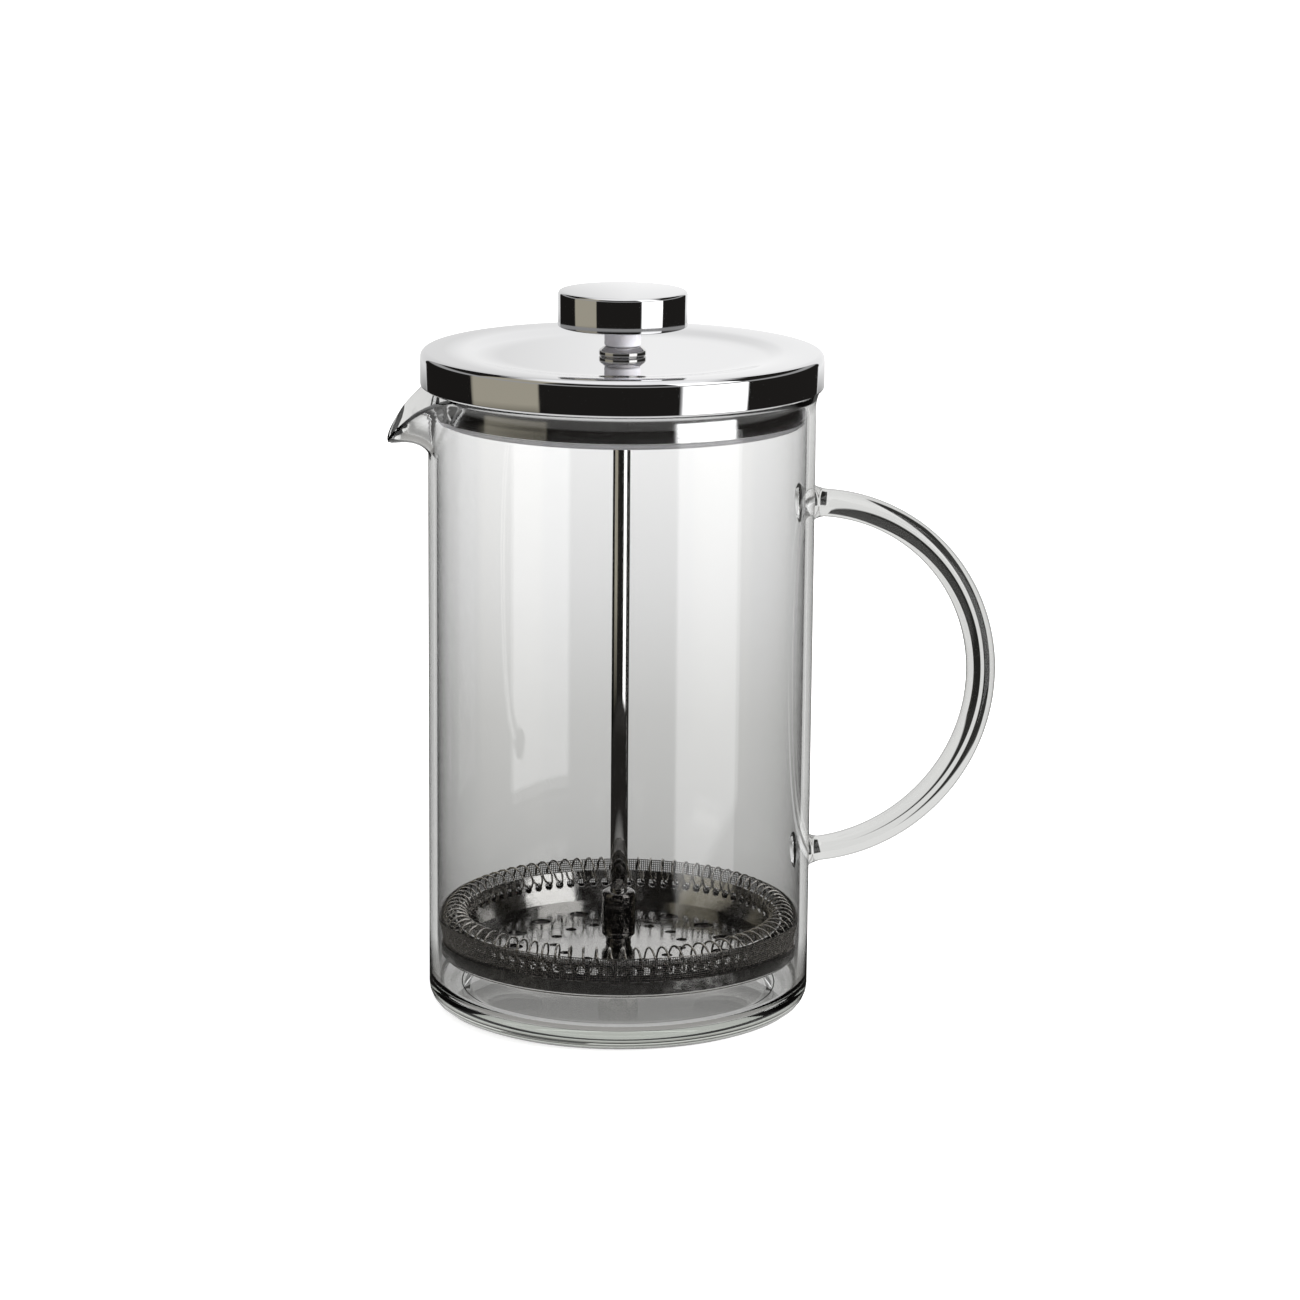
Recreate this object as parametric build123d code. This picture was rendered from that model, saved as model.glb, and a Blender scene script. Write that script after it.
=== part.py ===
from build123d import *
import math
import os

# French press: a glass beaker with a pulled spout and a fused glass handle, a steel lid with a
# plastic insert, and a plunger whose filter stack is pressed down to its lowest place.
# Millimetres, +Z up. The origin is the centre of the beaker's foot ring, on the surface that the
# press stands on. The handle points along +X and the spout along -X.

# Beaker
beaker_d = 96.0
beaker_h = 157.6
glass_t = 2.2
base_t = 4.2
base_corner_r = 5.0
inner_corner_r = 3.5
punt_h = 0.7
foot_w = 3.0
rim_flare = 1.2
rim_zone_h = 4.0

# Spout: how far its tip stands out from the wall and hangs below the rim
spout_reach = 10.8
spout_drop = 11.8
spout_mouth_half_w = 22.0
spout_root_drop = 17.0
spout_tip_half_w = 3.2
spout_tip_depth = 2.6

# Handle: a glass rod bent in a half circle whose ends are fused to the wall
handle_rod_d = 7.4
handle_loop_r = 45.0
handle_top_drop = 30.6
handle_root_d = 9.6
handle_root_len = 2.2

# Lid
lid_overhang = 1.9
lid_h = 8.7
lid_sheet_t = 0.7
lid_edge_r = 2.0
lid_dish_depth = 1.4
lid_border_w = 7.5
lid_dish_slope_w = 9.0
lid_hem_w = 2.3
lid_rim_gap = 0.1
band_gap = 0.6
band_t = 0.6
band_drop = 7.1
insert_lip_h = 1.2
insert_floor_t = 2.0
insert_wall_t = 1.6
insert_boss_r = 7.5
insert_rib_t = 1.4
insert_rib_count = 6

# Ferrule on the lid, with the bush that guides the rod
ferrule_bead_r = 5.85
ferrule_bead_h = 2.4
ferrule_stem_r = 3.6
bush_wall = 0.75
bush_flange_h = 0.4
nut_recess_r = 6.3
nut_recess_h = 4.0
ferrule_washer_t = 0.4
ferrule_nut_h = 2.8
ferrule_nut_flats = 10.0

# Knob
knob_r = 16.0
knob_h = 8.9
knob_shell_t = 0.8
knob_edge_r = 1.0
knob_base_recess = 0.5
collar_r = 4.5
collar_h = 4.9
knob_nut_h = 4.5
knob_nut_flats = 7.0

# Plunger rod and hub
rod_d = 4.35
hub_r = 4.28
hub_h = 12.4
hub_neck_r = 3.05
hub_neck_h = 1.5
hub_dome_r = 1.2
hub_groove_r = 0.25
stud_r = 2.45
rod_socket_depth = 9.0

# Filter stack
filter_z = 14.0
plate_t = 0.5
plate_wall_h = 7.5
plate_wall_lean = 2.0
plate_hole_count = 14
plate_large_hole_r = 2.5
plate_small_hole_r = 1.4
plate_large_ring_inset = 12.4
plate_small_ring_inset = 23.0
coil_d = 6.9
coil_wire_d = 0.55
coil_pitch = 3.25
coil_hole_r = 1.1
mesh_t = 0.25
mesh_top_gap = 0.27
mesh_h = 9.8
dish_gap = 0.8
dish_t = 0.5
dish_rim_h = 3.75
dish_hole_r = 7.0
dish_hole_inset = 18.0
dish_hole_land = 4.0
eyelet_r = 5.0
lock_nut_h = 3.0
lock_nut_flats = 9.0
stud_tail = 0.7

# Clearances
running_gap = 0.05
seat_gap = 0.1
hole_gap = 0.1
coil_gap = 0.25
plunger_stop_gap = 0.5

# Derived radii
beaker_r = beaker_d / 2
inner_r = beaker_r - glass_t
floor_z = punt_h + base_t
rod_r = rod_d / 2
lid_r = beaker_r + lid_overhang
band_r = inner_r - band_gap
insert_r = band_r - band_t - running_gap
mesh_top_r = inner_r - mesh_top_gap
dish_r = inner_r - dish_gap
mesh_foot_r = dish_r - dish_t - running_gap
coil_r = coil_d / 2
coil_turn_r = coil_r - coil_wire_d / 2
bush_bore_r = rod_r + running_gap
bush_r = bush_bore_r + bush_wall
ferrule_bore_r = bush_r + running_gap

# Derived heights, from the filter up and from the rim up
plate_top_z = filter_z + plate_t
mesh_floor_z = filter_z - mesh_t
dish_floor_z = mesh_floor_z - dish_t
plate_wall_top_z = plate_top_z + plate_wall_h
coil_z = plate_wall_top_z + 0.1
hub_z = plate_top_z + hub_neck_h
hub_top_z = hub_z + hub_h
lid_z = beaker_h + lid_rim_gap
lid_top_z = lid_z + lid_h
lid_dish_z = lid_top_z - lid_dish_depth
band_z = lid_z - band_drop
insert_z = band_z - insert_lip_h
hem_top_z = lid_z + lid_sheet_t
ferrule_top_z = lid_dish_z + ferrule_bead_h
recess_top_z = insert_z + nut_recess_h
stem_end_z = recess_top_z - ferrule_washer_t - ferrule_nut_h
collar_z = ferrule_top_z + seat_gap
knob_z = collar_z + collar_h
knob_top_z = knob_z + knob_h
knob_nut_z = knob_z + 2.1
rod_end_z = knob_nut_z + knob_nut_h
rod_foot_z = hub_top_z - rod_socket_depth

# The coil's ring lies just inside the woven mesh at its own height
mesh_rise = (coil_z - filter_z) / mesh_h
mesh_r_at_coil = mesh_foot_r + (mesh_top_r - mesh_foot_r) * mesh_rise
coil_ring_r = mesh_r_at_coil - mesh_t - coil_gap - coil_r
plate_floor_r = coil_ring_r - plate_wall_lean
coil_turns = round(2 * math.pi * coil_ring_r / coil_pitch)

# How far the plunger rises before its hub meets the lid's insert
plunger_stroke = insert_z - hub_top_z - plunger_stop_gap


def turned(*edges):
    """Turn a closed outline of edges, drawn as (radius, height), about the Z axis."""
    return revolve(Plane.XZ * make_face(list(edges)), Axis.Z)


def turned_outline(*points):
    """Turn a closed outline of straight lines, given as (radius, height) points."""
    return turned(*Polyline(*points, close=True).edges())


def tube(outer_r, inner_r, low_z, high_z):
    """A plain ring or sleeve about the Z axis."""
    return turned_outline((inner_r, low_z), (outer_r, low_z), (outer_r, high_z), (inner_r, high_z))


def upright_cylinder(radius, low_z, high_z, x=0.0, y=0.0):
    """A cylinder that stands from low_z to high_z."""
    height = high_z - low_z
    return Pos(x, y, low_z + height / 2) * Cylinder(radius, height)


def hex_nut(flats, low_z, height, bore_r):
    """A hexagonal nut about the Z axis, with both faces chamfered by a cone."""
    corner_r = flats / math.sqrt(3)
    blank = Pos(0, 0, low_z) * extrude(RegularPolygon(corner_r, 6), height)
    edge = (corner_r - flats / 2) * 0.6
    high_z = low_z + height
    cone = turned_outline(
        (0, low_z), (corner_r - edge, low_z), (corner_r + edge, low_z + edge * 1.2),
        (corner_r + edge, high_z - edge * 1.2), (corner_r - edge, high_z), (0, high_z),
    )
    return (blank & cone) - upright_cylinder(bore_r, low_z - 1, high_z + 1)


def ring_of(shape, count):
    """Copies of a shape, evenly turned about the Z axis."""
    return [Rot(0, 0, 360 * i / count) * shape for i in range(count)]


def beaker_shell():
    """The beaker's turned body: foot ring, rounded base, straight wall and flared, melted rim."""
    foot_r = beaker_r - base_corner_r
    rim_low = beaker_h - rim_zone_h
    rim_out = (beaker_r + rim_flare, beaker_h - glass_t * 0.6)
    rim_in = (inner_r + rim_flare * 0.4, beaker_h - glass_t * 0.6)
    rim_top = ((rim_out[0] + rim_in[0]) / 2, beaker_h)
    inner_foot = inner_r - inner_corner_r
    outside = Polyline(
        (0, floor_z), (0, punt_h), (foot_r - foot_w - 1.5, punt_h), (foot_r - foot_w, 0), (foot_r, 0),
    )
    corner = RadiusArc((foot_r, 0), (beaker_r, base_corner_r), -base_corner_r)
    wall = Polyline((beaker_r, base_corner_r), (beaker_r, rim_low), rim_out)
    rim = ThreePointArc(rim_out, rim_top, rim_in)
    inside = Polyline(rim_in, (inner_r, rim_low), (inner_r, floor_z + inner_corner_r))
    inner_corner = RadiusArc((inner_r, floor_z + inner_corner_r), (inner_foot, floor_z), inner_corner_r)
    floor = Line((inner_foot, floor_z), (0, floor_z))
    edges = [*outside.edges(), corner, *wall.edges(), rim, *inside.edges(), inner_corner, floor]
    return turned(*edges)


def spout_section(x, half_w, top_z, bottom_z, headroom):
    """One cross-section of the spout, square to X: a round-bottomed trough, open to headroom above it."""
    edges = [ThreePointArc((-half_w, top_z), (0, bottom_z), (half_w, top_z))]
    if headroom:
        high_z = top_z + headroom
        sides = Polyline((half_w, top_z), (half_w, high_z), (-half_w, high_z), (-half_w, top_z))
        edges = edges + sides.edges()
    else:
        edges.append(Line((half_w, top_z), (-half_w, top_z)))
    return Plane((x, 0, 0), x_dir=(0, 1, 0), z_dir=(1, 0, 0)) * make_face(edges)


def spout_body(shrink, headroom, past_tip):
    """The spout as a filled trough whose sides and belly are moved inwards by shrink."""
    tip_z = beaker_h - spout_drop
    belly_z = tip_z - spout_tip_depth + shrink
    stations = [
        (5.0, spout_mouth_half_w - shrink, beaker_h - 0.2, beaker_h - spout_root_drop + shrink),
        (-spout_reach * 0.28, spout_mouth_half_w * 0.5 - shrink, beaker_h - spout_drop * 0.3, belly_z - 1.2),
        (-spout_reach * 0.8, spout_mouth_half_w * 0.24 - shrink * 0.8, beaker_h - spout_drop * 0.73, belly_z - 0.2),
        (-spout_reach - past_tip, spout_tip_half_w - shrink * 0.6, tip_z + 0.4, belly_z),
    ]
    sections = []
    for out, half_w, top_z, bottom_z in stations:
        sections.append(spout_section(out - beaker_r, half_w, top_z, bottom_z, headroom))
    return loft(sections)


def make_beaker():
    """The glass beaker with its pulled spout, one solid."""
    bore = upright_cylinder(inner_r, floor_z + inner_corner_r, beaker_h + 20)
    spout = spout_body(0, 0, 0) - bore
    channel = spout_body(glass_t * 0.9, rim_zone_h + spout_drop, 1.0) - upright_cylinder(inner_r - 2, 0, beaker_h * 2)
    return beaker_shell() + spout - channel


def make_handle():
    """The half-circle glass rod, with a short swelling where each end is fused to the wall."""
    centre_z = beaker_h - handle_top_drop - handle_loop_r
    section = Pos(beaker_r, 0, centre_z + handle_loop_r) * Rot(0, 90, 0) * Circle(handle_rod_d / 2)
    axis = Axis((beaker_r, 0, centre_z), (0, 1, 0))
    rod = revolve(section, axis, 180)
    roots = []
    for z in (centre_z + handle_loop_r, centre_z - handle_loop_r):
        swelling = Cone(handle_root_d / 2, handle_rod_d / 2 - 0.2, handle_root_len)
        inner_end = Cylinder(handle_root_d / 2, 1.0)
        roots.append(Pos(beaker_r + handle_root_len / 2, 0, z) * Rot(0, 90, 0) * swelling)
        roots.append(Pos(beaker_r - 0.5, 0, z) * Rot(0, 90, 0) * inner_end)
    for root in roots:
        rod = rod + root
    return rod - upright_cylinder(beaker_r, 0, beaker_h + 20)


def make_lid_cover():
    """The pressed steel cover: dished top, raised border, rounded edge, skirt and inward hem."""
    t = lid_sheet_t
    hole_r = ferrule_stem_r + hole_gap
    border_r = lid_r - lid_border_w
    dish_r_out = border_r - lid_dish_slope_w
    bend = lid_dish_slope_w * 0.45
    edge_in = lid_r - lid_edge_r
    hem_r = lid_r - lid_hem_w
    edges = [
        Line((hole_r, lid_dish_z), (dish_r_out, lid_dish_z)),
        Bezier(
            (dish_r_out, lid_dish_z), (dish_r_out + bend, lid_dish_z),
            (border_r - bend, lid_top_z), (border_r, lid_top_z),
        ),
        Line((border_r, lid_top_z), (edge_in, lid_top_z)),
        RadiusArc((edge_in, lid_top_z), (lid_r, lid_top_z - lid_edge_r), lid_edge_r),
        Line((lid_r, lid_top_z - lid_edge_r), (lid_r, lid_z + t)),
        RadiusArc((lid_r, lid_z + t), (lid_r - t, lid_z), t),
        *Polyline((lid_r - t, lid_z), (hem_r, lid_z), (hem_r, hem_top_z), (lid_r - t, hem_top_z)).edges(),
        Line((lid_r - t, hem_top_z), (lid_r - t, lid_top_z - lid_edge_r)),
        RadiusArc((lid_r - t, lid_top_z - lid_edge_r), (edge_in, lid_top_z - t), -(lid_edge_r - t)),
        Line((edge_in, lid_top_z - t), (border_r, lid_top_z - t)),
        Bezier(
            (border_r, lid_top_z - t), (border_r - bend, lid_top_z - t),
            (dish_r_out + bend, lid_dish_z - t), (dish_r_out, lid_dish_z - t),
        ),
        *Polyline((dish_r_out, lid_dish_z - t), (hole_r, lid_dish_z - t), (hole_r, lid_dish_z)).edges(),
    ]
    return turned(*edges)


def make_lid_liner():
    """The steel inner band. Its flange is held by the cover's hem and its wall drops into the glass."""
    flange_r = lid_r - lid_sheet_t - hole_gap
    flange_top = hem_top_z + band_t
    wall_in = band_r - band_t
    return turned_outline(
        (wall_in, band_z), (band_r, band_z), (band_r, hem_top_z),
        (flange_r, hem_top_z), (flange_r, flange_top), (wall_in, flange_top),
    )


def make_lid_insert():
    """The white plastic insert: floor with a lip under the band, side wall, ribs and centre boss."""
    floor_top = insert_z + insert_floor_t
    wall_top = hem_top_z + band_t
    boss_top = lid_dish_z - lid_sheet_t - running_gap
    wall_in = insert_r - insert_wall_t
    lip_top = band_z - running_gap
    body = turned_outline(
        (ferrule_stem_r + hole_gap, recess_top_z), (nut_recess_r, recess_top_z), (nut_recess_r, insert_z),
        (band_r - 0.7, insert_z), (band_r - 0.1, insert_z + 0.6), (band_r - 0.1, lip_top),
        (insert_r, lip_top), (insert_r, wall_top), (wall_in, wall_top), (wall_in, floor_top),
        (insert_boss_r + 1.5, floor_top), (insert_boss_r, floor_top + nut_recess_h),
        (insert_boss_r, boss_top), (ferrule_stem_r + hole_gap, boss_top),
    )
    rib_len = wall_in - insert_boss_r + 1.0
    rib_h = wall_top - floor_top - 1.5
    rib = Box(rib_len, insert_rib_t, rib_h)
    rib = Pos(insert_boss_r - 0.5 + rib_len / 2, 0, floor_top + rib_h / 2) * rib
    for copy in ring_of(rib, insert_rib_count):
        body = body + copy
    return body


def make_ferrule():
    """The polished bead on the lid, with a threaded stem down through cover and insert."""
    top_r = ferrule_bead_r - 1.35
    foot_r = ferrule_bead_r - 0.75
    bead = [
        ThreePointArc(
            (foot_r, lid_dish_z), (ferrule_bead_r, lid_dish_z + ferrule_bead_h * 0.5), (top_r, ferrule_top_z)
        ),
        *Polyline(
            (top_r, ferrule_top_z), (ferrule_bore_r, ferrule_top_z), (ferrule_bore_r, stem_end_z),
            (ferrule_stem_r, stem_end_z), (ferrule_stem_r, lid_dish_z), (foot_r, lid_dish_z),
        ).edges(),
    ]
    return turned(*bead)


def make_ferrule_washer():
    """The flat washer between the ferrule's nut and the plastic insert."""
    washer_r = ferrule_nut_flats / math.sqrt(3) + 0.2
    return tube(washer_r, ferrule_stem_r, recess_top_z - ferrule_washer_t, recess_top_z)


def make_ferrule_nut():
    """The hexagonal nut that clamps the ferrule from below, sunk in the insert."""
    return hex_nut(ferrule_nut_flats, stem_end_z, ferrule_nut_h, ferrule_stem_r)


def make_guide_bush():
    """The plastic sleeve in the ferrule that the rod slides through."""
    flange_r = ferrule_stem_r - 0.3
    low_z = stem_end_z - running_gap - bush_flange_h
    return turned_outline(
        (bush_bore_r, low_z), (flange_r, low_z), (flange_r, low_z + bush_flange_h),
        (bush_r, low_z + bush_flange_h), (bush_r, ferrule_top_z - 0.3), (bush_bore_r, ferrule_top_z - 0.3),
    )


def make_knob_shell():
    """The polished steel cap of the knob, open below."""
    t = knob_shell_t
    edge_in = knob_r - knob_edge_r
    inner_top = knob_top_z - t
    edges = [
        Line((0, knob_top_z), (edge_in, knob_top_z)),
        RadiusArc((edge_in, knob_top_z), (knob_r, knob_top_z - knob_edge_r), knob_edge_r),
        *Polyline(
            (knob_r, knob_top_z - knob_edge_r), (knob_r, knob_z), (knob_r - t, knob_z),
            (knob_r - t, inner_top), (0, inner_top), (0, knob_top_z),
        ).edges(),
    ]
    return turned(*edges)


def make_knob_core():
    """The white plastic core of the knob, with the collar that stops on the ferrule."""
    core_r = knob_r - knob_shell_t
    core_z = knob_z + knob_base_recess
    core_top = knob_top_z - knob_shell_t
    pocket_r = knob_nut_flats / math.sqrt(3) + hole_gap
    return turned_outline(
        (rod_r, collar_z), (collar_r, collar_z), (collar_r, core_z), (core_r, core_z), (core_r, core_top),
        (pocket_r, core_top), (pocket_r, knob_nut_z), (rod_r, knob_nut_z),
    )


def make_knob_nut():
    """The threaded brass nut inside the knob that the rod screws into."""
    return hex_nut(knob_nut_flats, knob_nut_z, knob_nut_h, rod_r)


def make_plunger_rod():
    """The polished rod from the hub's socket to the knob's nut, with chamfered ends."""
    rod = upright_cylinder(rod_r, rod_foot_z, rod_end_z)
    return chamfer(rod.edges().filter_by(GeomType.CIRCLE), 0.4)


def make_hub():
    """The barrel that the rod screws into, with a neck, and a stud through the filter stack."""
    stud_end = dish_floor_z - lock_nut_h - stud_tail
    groove_z = hub_z + 0.7
    neck_edge = 0.4
    edges = [
        *Polyline(
            (0, stud_end), (stud_r, stud_end), (stud_r, plate_top_z), (hub_neck_r, plate_top_z),
            (hub_neck_r, hub_z), (hub_r - neck_edge, hub_z), (hub_r, hub_z + neck_edge),
            (hub_r, groove_z - hub_groove_r), (hub_r - hub_groove_r, groove_z),
            (hub_r, groove_z + hub_groove_r), (hub_r, hub_top_z - hub_dome_r),
        ).edges(),
        RadiusArc((hub_r, hub_top_z - hub_dome_r), (hub_r - hub_dome_r, hub_top_z), -hub_dome_r),
        *Polyline(
            (hub_r - hub_dome_r, hub_top_z), (rod_r, hub_top_z), (rod_r, rod_foot_z), (0, rod_foot_z),
            (0, stud_end),
        ).edges(),
    ]
    return turned(*edges)


def plate_wall_r(z):
    """The radius of the spring plate's leaning wall at a height, on its outer side."""
    return plate_floor_r + plate_wall_lean * (z - plate_top_z) / plate_wall_h


def coil_crossing_z():
    """The height at which each turn of the coil passes through the spring plate's wall."""
    low = coil_z - coil_turn_r
    offset = coil_ring_r - plate_wall_r(low)
    return coil_z - math.sqrt(coil_turn_r ** 2 - offset ** 2)


def make_spring_plate():
    """The perforated steel plate with a leaning wall, drilled once for each turn of the coil."""
    t = plate_t
    centre_hole = stud_r + hole_gap
    floor_r = plate_floor_r
    plate = turned_outline(
        (centre_hole, filter_z), (floor_r, filter_z), (floor_r + 0.3, plate_top_z),
        (coil_ring_r, plate_wall_top_z), (coil_ring_r - t, plate_wall_top_z),
        (floor_r - t, plate_top_z), (centre_hole, plate_top_z),
    )
    large_r = floor_r - plate_large_ring_inset
    small_r = floor_r - plate_small_ring_inset
    large = upright_cylinder(plate_large_hole_r, filter_z - 1, plate_top_z + 1, x=large_r)
    small = upright_cylinder(plate_small_hole_r, filter_z - 1, plate_top_z + 1, x=small_r)
    thread_hole = Pos(coil_ring_r - 1, 0, coil_crossing_z()) * Rot(0, 90, 0) * Cylinder(coil_hole_r, 4)
    cuts = ring_of(large, plate_hole_count) + ring_of(small, plate_hole_count)
    cuts = cuts + ring_of(thread_hole, coil_turns)
    return plate - cuts


def make_coil_spring():
    """The closed coil round the plate. Each turn is a separate ring; the real coil is one wire."""
    turn = Torus(coil_turn_r, coil_wire_d / 2)
    turn = Pos(coil_ring_r, 0, coil_z) * Rot(90, 0, 0) * turn
    return Compound(children=ring_of(turn, coil_turns))


def make_filter_mesh():
    """The woven screen as a thin cup: flat floor, then a rim that opens towards the glass."""
    t = mesh_t
    top_z = filter_z + mesh_h
    return turned_outline(
        (eyelet_r, mesh_floor_z), (mesh_foot_r, mesh_floor_z), (mesh_foot_r, filter_z + dish_rim_h),
        (mesh_top_r, top_z), (mesh_top_r - t, top_z), (mesh_foot_r - t, filter_z + dish_rim_h),
        (mesh_foot_r - t, filter_z), (eyelet_r, filter_z),
    )


def make_mesh_eyelet():
    """The metal eyelet that binds the screen's centre hole."""
    return tube(eyelet_r, stud_r + hole_gap, mesh_floor_z, filter_z)


def make_cross_plate():
    """The shallow dish under the screen, with round openings and an upturned rim."""
    t = dish_t
    top_z = filter_z + dish_rim_h - 0.25
    centre_hole = stud_r + hole_gap
    corner = 1.2
    dish = turned_outline(
        (centre_hole, dish_floor_z), (dish_r - corner, dish_floor_z), (dish_r, dish_floor_z + corner),
        (dish_r, top_z), (dish_r - t, top_z), (dish_r - t, mesh_floor_z), (centre_hole, mesh_floor_z),
    )
    ring_r = dish_r - dish_hole_inset
    count = math.floor(2 * math.pi * ring_r / (2 * dish_hole_r + dish_hole_land))
    opening = upright_cylinder(dish_hole_r, dish_floor_z - 1, mesh_floor_z + 1, x=ring_r)
    return dish - ring_of(opening, count)


def make_lock_nut():
    """The hexagonal nut under the stack."""
    return hex_nut(lock_nut_flats, dish_floor_z - lock_nut_h, lock_nut_h, stud_r)


pieces = {
    "beaker": make_beaker,
    "handle": make_handle,
    "lid_cover": make_lid_cover,
    "lid_liner": make_lid_liner,
    "lid_insert": make_lid_insert,
    "ferrule": make_ferrule,
    "ferrule_washer": make_ferrule_washer,
    "ferrule_nut": make_ferrule_nut,
    "guide_bush": make_guide_bush,
    "knob_shell": make_knob_shell,
    "knob_core": make_knob_core,
    "knob_nut": make_knob_nut,
    "plunger_rod": make_plunger_rod,
    "hub": make_hub,
    "spring_plate": make_spring_plate,
    "coil_spring": make_coil_spring,
    "filter_mesh": make_filter_mesh,
    "mesh_eyelet": make_mesh_eyelet,
    "cross_plate": make_cross_plate,
    "lock_nut": make_lock_nut,
}

os.makedirs("parts", exist_ok=True)
for name, make in pieces.items():
    export_step(make(), f"parts/{name}.step")
print(f"plunger stroke {plunger_stroke:.2f} mm, coil turns {coil_turns}")
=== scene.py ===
"""Looks of the french press, built round its CAD frame. Blender units are metres."""

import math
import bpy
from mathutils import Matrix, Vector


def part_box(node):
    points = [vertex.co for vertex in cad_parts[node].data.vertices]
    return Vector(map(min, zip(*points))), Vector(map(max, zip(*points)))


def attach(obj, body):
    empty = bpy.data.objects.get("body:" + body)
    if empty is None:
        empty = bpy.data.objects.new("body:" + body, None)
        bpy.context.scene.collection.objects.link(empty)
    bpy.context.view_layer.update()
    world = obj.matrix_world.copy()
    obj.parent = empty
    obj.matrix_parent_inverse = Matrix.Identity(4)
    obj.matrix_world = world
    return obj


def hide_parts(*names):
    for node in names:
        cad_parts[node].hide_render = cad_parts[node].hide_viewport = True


bl_info = {
    "name": "French Press",
    "version": (1, 0, 0),
    "blender": (4, 5, 0),
    "location": "View3D > Sidebar > French Press",
    "description": "Builds the glass, steel and plastic of a french press",
    "category": "Object",
}

import bpy
from mathutils import Matrix, Vector

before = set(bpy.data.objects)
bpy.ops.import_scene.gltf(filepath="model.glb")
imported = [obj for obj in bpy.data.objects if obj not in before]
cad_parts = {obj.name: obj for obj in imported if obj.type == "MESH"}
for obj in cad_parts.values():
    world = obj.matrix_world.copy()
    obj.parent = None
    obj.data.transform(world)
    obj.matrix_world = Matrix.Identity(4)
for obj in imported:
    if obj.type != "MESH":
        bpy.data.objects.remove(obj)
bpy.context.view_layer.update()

MM = 0.001
TURN_STEPS = 160


# ---------------------------------------------------------------- settings


def length_property(name, description, millimetres):
    """A length that a user can change, in metres, with its default given in millimetres."""
    return bpy.props.FloatProperty(
        name=name, description=description, default=millimetres * MM,
        min=0.0, subtype="DISTANCE", unit="LENGTH",
    )


def colour_property(name, description, hex_value):
    """A colour that a user can change, with its default given as an sRGB hex value."""
    return bpy.props.FloatVectorProperty(
        name=name, description=description, default=linear(hex_value)[:3],
        min=0.0, max=1.0, size=3, subtype="COLOR",
    )


def linear(hex_value):
    """An sRGB hex colour such as "c8c4bc" as linear RGBA."""
    channels = []
    for i in (0, 2, 4):
        value = int(hex_value[i:i + 2], 16) / 255
        channels.append(value / 12.92 if value <= 0.04045 else ((value + 0.055) / 1.055) ** 2.4)
    return (*channels, 1.0)


class PressGlass(bpy.types.PropertyGroup):
    wall: length_property("Wall", "Thickness of the glass wall", 2.2)
    rim_flare: length_property("Rim flare", "How far the melted rim leans outwards", 1.1)
    spout_reach: length_property("Spout reach", "How far the spout's tip stands out from the wall", 9.9)
    spout_drop: length_property("Spout drop", "How far the spout's tip hangs below the rim", 14.2)
    rod_middle: length_property("Handle middle", "Diameter of the handle rod at its middle", 7.4)
    rod_top: length_property("Handle top", "Diameter of the handle rod below its upper root", 7.0)
    rod_foot: length_property("Handle foot", "Diameter of the handle rod above its lower root", 6.2)
    tint: colour_property("Tint", "Colour that thick glass takes", "dfe6dc")


class PressSteel(bpy.types.PropertyGroup):
    sheet: length_property("Lid sheet", "Thickness of the lid's steel sheet", 0.7)
    coil_wire: length_property("Coil wire", "Diameter of the coil's wire", 0.55)
    coil_pitch: length_property("Coil pitch", "Spacing of the coil's turns along its ring", 3.25)
    weave: length_property("Weave", "Spacing of the screen's wires, drawn coarser than a usual 0.3 mm", 0.55)
    weave_wire: length_property("Weave wire", "Diameter of the screen's wires", 0.3)
    polished: colour_property("Polished", "Mirror-polished stainless steel", "dadadb")
    drawn: colour_property("Drawn", "Bright drawn stainless wire", "aaa7a2")


class PressPlastic(bpy.types.PropertyGroup):
    collar_edge: length_property("Collar edge", "Rounding of the knob collar's edge", 0.5)
    white: colour_property("White", "Moulded polypropylene", "f2f0f6")


class PressSettings(bpy.types.PropertyGroup):
    glass: bpy.props.PointerProperty(type=PressGlass, name="Glass", description="Beaker and handle")
    steel: bpy.props.PointerProperty(type=PressSteel, name="Steel", description="Lid, rod and filter")
    plastic: bpy.props.PointerProperty(type=PressPlastic, name="Plastic", description="Knob core and insert")


def settings():
    return bpy.context.scene.french_press


# ---------------------------------------------------------------- modelling helpers


def start_clean():
    """Leave edit mode and select nothing, so that an operator acts only on what comes next."""
    if bpy.context.object and bpy.context.object.mode != "OBJECT":
        bpy.ops.object.mode_set(mode="OBJECT")
    bpy.ops.object.select_all(action="DESELECT")


def select_only(piece):
    start_clean()
    piece.select_set(True)
    bpy.context.view_layer.objects.active = piece


def place_in_mesh(piece):
    """Put a piece's place, turn and size into its mesh."""
    select_only(piece)
    bpy.ops.object.transform_apply(location=True, rotation=True, scale=True)


def apply_modifier(piece, kind, name, **values):
    """Add a modifier with its values and apply it."""
    select_only(piece)
    modifier = piece.modifiers.new(name, kind)
    for key, value in values.items():
        setattr(modifier, key, value)
    bpy.ops.object.modifier_apply(modifier=modifier.name)


def span(node):
    """A turned node's radius, lowest and highest point, in millimetres."""
    low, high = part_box(node)
    return high.x / MM, low.z / MM, high.z / MM


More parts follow.
